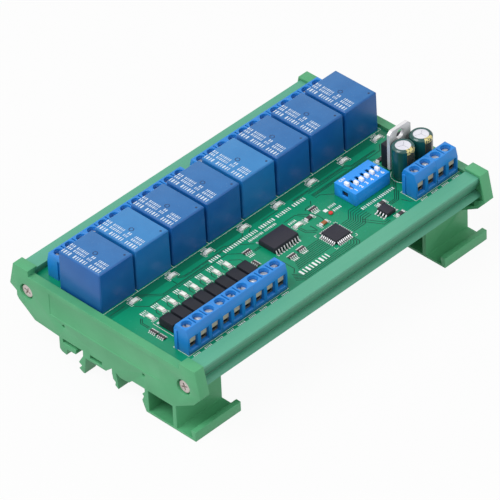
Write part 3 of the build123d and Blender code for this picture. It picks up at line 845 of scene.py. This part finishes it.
padLook = {
    "thickness": 0.04,
    "chip": (0.7, 1.5),
    "chipAlong": 1.55,
    "array": (0.34, 0.5),
    "arrayAcross": 1.05,
    "lead": 0.9,
    "slack": {"optocoupler": 0.14, "driver": 0.06, "controller": -0.02, "transceiver": 0.06},
    "reach": {"optocoupler": 0.3, "driver": 0.25, "controller": 0.12, "transceiver": 0.25},
}


# middle and size of a pad that lies at a shift from a part and turns with it
def padAt(place, shift, size):
    x, y, turn = place
    if turn:
        shift, size = shift[::-1], size[::-1]
    return (x + shift[0], y + shift[1]), size


padSpots = []
for place in whiteLeds + chips:
    for side in (-1, 1):
        padSpots.append(padAt(place, (side * padLook["chipAlong"], 0), padLook["chip"]))
for place in arrays:
    for along in array["alongs"]:
        for side in (-1, 1):
            padSpots.append(padAt(place, (along, side * padLook["arrayAcross"]), padLook["array"]))

# a pad under the foot of every bent lead, at the lead's end away from the chip
for chip in ("optocoupler", "driver", "controller", "transceiver"):
    body = "optocouplers" if chip == "optocoupler" else f"{chip}_chip"
    centre = middle(body)
    for low, high in solids(f"{chip}_leads"):
        along = 0 if high[0] - low[0] > high[1] - low[1] else 1
        across = 1 - along
        outward = 1 if low[along] + high[along] > 2 * centre[along] else -1
        tip = high[along] if outward > 0 else low[along]
        size = [0, 0]
        size[along] = padLook["lead"]
        size[across] = high[across] - low[across] + 2 * padLook["slack"][chip]
        place = [0, 0]
        place[along] = tip + outward * (padLook["reach"][chip] - size[along] / 2)
        place[across] = (low[across] + high[across]) / 2
        padSpots.append((tuple(place), tuple(size)))
padLevel = boardTop / mm + padLook["thickness"] / 2

# painted shade between the leads: a dark sheet under them; round the controller it is a cross of two bars
leadShadeLook = {"bar": 6.6, "thickness": 0.02}
leadShadeSpots = []
for chip in ("driver", "controller", "transceiver"):
    low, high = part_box(f"{chip}_leads")
    width, depth = (high[0] - low[0]) / mm, (high[1] - low[1]) / mm
    sizes = [(width, depth)]
    if chip == "controller":
        sizes = [(width, leadShadeLook["bar"]), (leadShadeLook["bar"], depth)]
    for size in sizes:
        leadShadeSpots.append(((*middle(f"{chip}_leads"), boardTop / mm), (*size, leadShadeLook["thickness"])))
finishPiece(blocks(leadShadeSpots), "lead_gap_shade", "gap")
pads = blocks([((*place, padLevel), (*size, padLook["thickness"])) for place, size in padSpots])
finishPiece(pads, "solder_pads", "solder")

track = {"width": 0.3, "thickness": 0.02, "leadPitch": 0.8}
optoMiddles = [(low[0] + high[0]) / 2 for low, high in solids("optocouplers")]
controller = middle("controller_chip")
leadLines = [controller[1] + track["leadPitch"] * (i - 3.5) for i in range(8)]

# dark gaps beside the copper tracks, drawn as lines from point to point in millimetres
tracks = [
    [(-56.2, -0.8), (-53.0, -4.5), (-17.0, -4.5), (-13.3, -8.1)],
    [(-52.4, 2.6), (-46.2, -3.8), (-24.5, -3.8)],
    [(-51.5, 2.6), (-45.5, -3.3), (-24.5, -3.3)],
    [(-36.5, -0.8), (-34.6, -2.4), (-14.6, -2.4)],
    [(-36.0, -0.4), (-34.2, -1.9), (-16.0, -1.9)],
    [(-38.7, -0.8), (-38.7, -3.2)],
    [(-19.2, -0.9), (-15.0, -0.9), (-13.5, -1.9), (-7.0, -1.9), (-5.8, -0.7)],
    [(-60.4, -12.2), (-60.4, -8.8), (-58.9, -7.2)],
    [(-61.0, -12.2), (-61.0, -8.6), (-59.2, -6.8)],
    [(-18.7, -7.2), (-16.0, -9.9), (-16.0, -12.0)],
    [(-9.8, -9.7), (-6.9, -9.7)],
    [(-9.8, -10.3), (-6.9, -10.3)],
    [(-10.5, -4.2), (-8.2, -6.3), (-7.0, -7.4)],
    [(-7.6, -20.5), (-7.6, -26.2), (-9.4, -27.8)],
    [(17.7, -1.0), (43.0, -1.0), (44.6, -2.6), (56.0, -2.6)],
    [(17.7, -1.5), (42.6, -1.5), (44.2, -3.1), (56.0, -3.1)],
    [(24.0, -2.2), (41.0, -2.2), (42.0, -3.2)],
    [(24.0, -3.7), (51.0, -3.7)],
    [(24.0, -4.2), (57.0, -4.2), (59.5, -1.6)],
    [(24.0, -4.7), (50.4, -4.7), (52.0, -6.2)],
    [(3.0, -0.9), (11.0, -0.9)],
    [(-2.0, -0.9), (-4.0, -2.0)],
    [(13.6, -7.2), (16.2, -10.2), (17.6, -12.0), (17.6, -15.2), (17.0, -15.8)],
    [(7.6, -7.0), (12.6, -7.0), (14.4, -9.8)],
    [(21.6, -5.6), (20.2, -7.2), (17.6, -7.2), (16.6, -8.0)],
    [(8.2, -13.1), (8.4, -16.0), (10.9, -18.5)],
    [(9.0, -13.1), (9.2, -15.6), (11.8, -18.2)],
    [(12.0, -14.6), (12.0, -18.0)],
    [(25.1, -25.9), (29.0, -32.4), (31.8, -32.4)],
    [(25.9, -25.1), (29.8, -31.6), (31.8, -31.6)],
    [(38.2, -26.3), (41.4, -26.3), (48.2, -19.5)],
    [(38.2, -25.7), (41.1, -25.7), (47.6, -19.2)],
    [(38.2, -26.9), (41.7, -26.9), (45.2, -23.4)],
    [(42.3, -27.6), (43.2, -29.9), (44.4, -31.4)],
    [(33.0, -12.0), (26.0, -5.6), (24.0, -5.6)],
    [(-65.0, 1.6), (-58.0, 1.6)],
]
tracks += [[(x - 3.1, -10.4), (x - 3.1, -8.5), (x - 2.1, -7.2)] for x in optoMiddles[1:]]
# the lines that leave the controller: a bundle to the switch, one to the left, and one that turns in front
for i, y in enumerate(leadLines):
    rise = y + 1.8 + 0.2 * i
    tracks.append([(19.4, y), (25.1 - 0.3 * i, y), (26.9 - 0.1 * i, rise), (30.0, rise)])
    tracks.append([(-6.8 + 0.4 * i, y), (8.8, y)])
for i in range(5):
    y = -33.3 + 0.75 * i
    shift = 0.31 * i
    corner = 17.2 - 0.6 * i
    start = [(-11.6 + shift, y + 2.6), (-9.0 + shift, y)]
    tracks.append(start + [(corner - 1.2, y), (corner, y + 1.2), (corner, -29.2)])
drawn = ribbons(track["width"], track["thickness"], boardTop, tracks)
finishPiece(drawn, "track_gaps", "gap")

via = {"ring": (0.4, 0.03, 12), "hole": (0.17, 0.04, 8)}  # radius, height and sides
vias = [
    (-62.4, -5.2), (-55.2, -5.6), (-48.6, -5.7), (-31.2, -1.6), (-26.8, -2.7), (-13.0, -4.0), (-12.4, -12.6),
    (-10.2, -15.4), (-9.6, -18.8), (-13.0, -22.4), (-8.8, -22.0), (5.6, -7.6), (7.0, -18.8), (6.4, -20.4),
    (22.6, -8.0), (23.2, -9.6), (26.2, -10.2), (22.8, -17.6), (21.4, -18.4), (21.8, -30.2), (24.0, -29.0),
    (27.6, -27.2), (40.8, -29.8), (40.2, -23.6), (45.6, -13.2), (46.6, -16.0), (-64.0, -9.4), (-64.2, -2.4),
    (2.0, -5.9), (12.6, -5.8), (37.6, -5.6), (50.4, -5.9),
]
viaPlaces = [(x, y, 0) for x, y in vias]
finishPiece(repeat(cylinder(*via["ring"]), viaPlaces), "via_rings", "pour")
finishPiece(repeat(cylinder(*via["hole"]), viaPlaces), "via_holes", "gap")

print("tracks and pads made")

silk = {
    "width": 0.24,
    "thickness": 0.03,
    "level": boardTop / mm + 0.012,
    "relayLine": 3.6,
    "canRing": 4.35,
    "corner": (5.1, 5.05),  # from the controller's middle
    "ledBracket": (2.3, 1.2, 1.5),  # half length, half width and where the arms end
    "chipBracket": (2.25, 1.15, 1.4),
    "square": ((21.2, -12.9), (1.5, 1.4)),
}
capacitors = [middle("capacitor_1"), middle("capacitor_2")]
closedLines = [
    oblong(-62.25, -16.3, -31.85, -24.8),
    oblong(44.95, 66.0, -31.85, -24.8),
    oblong(-66.0, 65.7, silk["relayLine"], 23.8),
    *[ring(x, y, silk["canRing"], 40) for x, y in capacitors],
]
openLines = [[(-58.35, -11.6), (-58.35, -21.0)]]
for (left, _), (right, _) in zip(relayMiddles, relayMiddles[1:]):
    between = (left + right) / 2
    openLines.append([(between, silk["relayLine"]), (between, silk["relayLine"] + 2)])
for sideX in (-silk["corner"][0], silk["corner"][0]):
    for sideY in (-silk["corner"][1], silk["corner"][1]):
        x, y = controller[0] + sideX, controller[1] + sideY
        openLines.append([(x, y - sideY * 0.2), (x, y), (x - sideX * 0.2, y)])


# the two brackets round the ends of an LED or a chip part
def brackets(places, long, wide, inner):
    lines = []
    for x, y, turn in places:
        for side in (-1, 1):
            line = [(side * inner, wide), (side * long, wide), (side * long, -wide), (side * inner, -wide)]
            lines.append([(x + a, y + b) if turn == 0 else (x + b, y + a) for a, b in line])
    return lines


openLines += brackets(channelLeds + inputLeds, *silk["ledBracket"])
openLines += brackets(chips + statusLeds[:1], *silk["chipBracket"])

# rows of printed ticks: start, end, y, height, seed and gaps
printRows = [
    (-23.5, 22.0, -3.1, 1.5, 2, ((-18.8, -17.4), (-1.5, 0.0), (6.4, 7.6), (14.2, 15.3))),
    (-7.4, 5.5, -5.25, 1.05, 4, ((-0.9, 0.2),)),
    (-8.0, 5.9, -29.5, 2.3, 7, ()),
    (7.7, 11.4, -9.0, 1.1, 3, ()),
    (23.0, 26.4, -12.6, 1.1, 1, ()),
    (23.0, 26.4, -14.9, 1.1, 6, ()),
]
printRows += [(29.9 + 2.62 * i, 32.0 + 2.62 * i, -21.3, 1.25, i + 2, ()) for i in range(6)]
for row in ("input", "supply"):
    printRows += [(x - 1.6, x + 1.6, -33.0, 1.0, i % 5 + 1, ()) for i, (x, _, _) in enumerate(wells[row])]
for x, y in ((-11.9, -11.1), (-3.6, -23.2), (1.0, -22.9), (18.9, -11.2)):
    printRows.append((x - 1.2, x + 1.4, y, 1.0, 5, ()))
printRows += [(x - 1.3, x + 1.3, y + 1.95, 0.8, i % 4 + 1, ()) for i, (x, y, _) in enumerate(channelLeds)]
printRows += [(x - 1.3, x + 1.4, y + 3.2, 1.2, i % 4 + 2, ()) for i, (x, y, _) in enumerate(inputLeds)]
strokes = []
for start, end, y, height, seed, gaps in printRows:
    strokes += markRow(start, end, y, height, silk["level"], seed, gaps)
place, size = silk["square"]
strokes.append(((*place, silk["level"]), (*size, silk["thickness"])))
drawn = [
    ribbons(silk["width"], silk["thickness"], boardTop, closedLines, True),
    ribbons(silk["width"], silk["thickness"], boardTop, openLines),
    blocks(strokes),
]
finishPiece(joined(drawn), "board_print", "silk")

print("board print made")

can = {
    "radius": 2.72,
    "thickness": 0.06,
    "sunk": 0.3,
    "scoreReach": 2.1,
    "scoreAngles": (0.6, 2.7, 4.8),
    "scoreLine": (0.16, 0.04),  # width and thickness
}
for number, (x, y) in enumerate(capacitors, 1):
    height = sleeve["top"] / mm - can["sunk"]
    top = cylinder(can["radius"], can["thickness"], 32, (x, y, height))
    finishPiece(top, f"capacitor_top_{number}", "canTop")
    reach = can["scoreReach"]
    arms = [(x + reach * math.cos(angle), y + reach * math.sin(angle)) for angle in can["scoreAngles"]]
    score = ribbons(*can["scoreLine"], (height + can["thickness"]) * mm, [[arm, (x, y)] for arm in arms])
    finishPiece(score, f"capacitor_score_{number}", "scored")

switchPrint = {"digitSize": 2.1, "digitFront": 3.4, "onSize": 1.6, "onLeft": 5.6, "onBack": 3.8}
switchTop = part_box("switch_cover")[1][2]
switchX, switchY = middle("switch_cover")
digitY = switchY - switchPrint["digitFront"]
digits = [(str(i), middle(f"switch_slider_{i}")[0], digitY) for i in range(1, 7)]
onWord = [("ON", switchX - switchPrint["onLeft"], switchY + switchPrint["onBack"])]
words = [
    lettering(digits, switchPrint["digitSize"], switchTop),
    lettering(onWord, switchPrint["onSize"], switchTop),
]
finishPiece(joined(words), "switch_print", "silk")

slotShade = {"size": (0.46, 3.6, 0.06), "drop": 0.5}

# painted shade: dark blocks down in the slots between the poles of each terminal
slotShades = []
for row, poles in (("input", 3), ("supply", 2), ("output", 3)):
    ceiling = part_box(f"{row}_terminal_1")[1][2] / mm
    for number, (first, second) in enumerate(zip(wells[row], wells[row][1:]), 1):
        if number % poles:
            x = (first[0] + second[0]) / 2
            slotShades.append(((x, first[1], ceiling - slotShade["drop"]), slotShade["size"]))
finishPiece(blocks(slotShades), "terminal_slot_shade", "terminalSlotShade")

print("capacitor tops and switch print made")

# the camera's place in metres, its three directions and its lens, solved from the pitch of the terminals
view = {
    "spot": (-0.90509, -0.92731, 1.05844),
    "right": (0.69594987, -0.7172336, -0.03506771),
    "up": (0.46927143, 0.4172957, 0.7782343),
    "forward": (0.54354218, 0.55806833, -0.62699413),
    "lens": 361.2,
    "sensor": 36,
    "reach": 100,
}


def placeCamera():
    data = bpy.data.cameras.new("camera")
    data.lens = view["lens"]
    data.sensor_width = view["sensor"]
    data.clip_end = view["reach"]
    camera = bpy.data.objects.new("camera", data)
    bpy.context.scene.collection.objects.link(camera)
    turn = Matrix([view["right"], view["up"], [-v for v in view["forward"]]]).transposed()
    camera.matrix_world = Matrix.Translation(view["spot"]) @ turn.to_4x4()
    bpy.context.scene.camera = camera


lamps = {
    "key": {"spot": (-0.65, 0.22, 1.0), "size": 0.7, "power": 9.0},
    "fill": {"spot": (0.3, -0.9, 0.8), "size": 0.9, "power": 2.5},
}


def placeLamps():
    for name, lamp in lamps.items():
        data = bpy.data.lights.new(name, "AREA")
        data.energy = lamp["power"]
        data.size = lamp["size"]
        light = bpy.data.objects.new(name, data)
        bpy.context.scene.collection.objects.link(light)
        light.location = lamp["spot"]
        light.rotation_mode = "QUATERNION"
        light.rotation_quaternion = (-Vector(lamp["spot"])).to_track_quat("-Z", "Y")


surroundings = {
    "skyStrength": 0.62,
    "floorSize": 8.0,
    "floorLevel": -0.05 * mm,
    "floorShade": 0.6,
    "floorRough": 0.9,
    "floorGlow": 0.94,
}


# one where the camera looks, straight, by reflection or through glass, and nought for light on the object
def seen(tree):
    paths = tree.nodes.new("ShaderNodeLightPath")
    total = paths.outputs["Is Camera Ray"]
    for kind in ("Is Glossy Ray", "Is Transmission Ray"):
        larger = tree.nodes.new("ShaderNodeMath")
        larger.operation = "MAXIMUM"
        tree.links.new(total, larger.inputs[0])
        tree.links.new(paths.outputs[kind], larger.inputs[1])
        total = larger.outputs[0]
    return total


def placeWorld():
    world = bpy.data.worlds.new("studio")
    bpy.context.scene.world = world
    world.use_nodes = True
    tree = world.node_tree
    back = tree.nodes["Background"]
    level = tree.nodes.new("ShaderNodeMapRange")
    tree.links.new(seen(tree), level.inputs["Value"])
    level.inputs["To Min"].default_value = surroundings["skyStrength"]
    level.inputs["To Max"].default_value = 1.0
    tree.links.new(level.outputs[0], back.inputs["Strength"])
    back.inputs["Color"].default_value = (1, 1, 1, 1)


def placeFloor():
    place = (0, 0, surroundings["floorLevel"])
    bpy.ops.mesh.primitive_plane_add(size=surroundings["floorSize"], location=place)
    floor = bpy.context.active_object
    floor.name = "floor"
    material = bpy.data.materials.new("floorWhite")
    material.use_nodes = True
    tree = material.node_tree
    matte = tree.nodes["Principled BSDF"]
    matte.inputs["Base Color"].default_value = (*[surroundings["floorShade"]] * 3, 1)
    matte.inputs["Roughness"].default_value = surroundings["floorRough"]
    glow = tree.nodes.new("ShaderNodeEmission")
    share = tree.nodes.new("ShaderNodeMath")
    share.operation = "MULTIPLY"
    tree.links.new(seen(tree), share.inputs[0])
    share.inputs[1].default_value = surroundings["floorGlow"]
    blend = tree.nodes.new("ShaderNodeMixShader")
    tree.links.new(share.outputs[0], blend.inputs[0])
    tree.links.new(matte.outputs[0], blend.inputs[1])
    tree.links.new(glow.outputs[0], blend.inputs[2])
    tree.links.new(blend.outputs[0], tree.nodes["Material Output"].inputs["Surface"])
    floor.data.materials.append(material)


placeCamera()
placeLamps()
placeWorld()
placeFloor()
bpy.context.scene.view_settings.view_transform = "Standard"
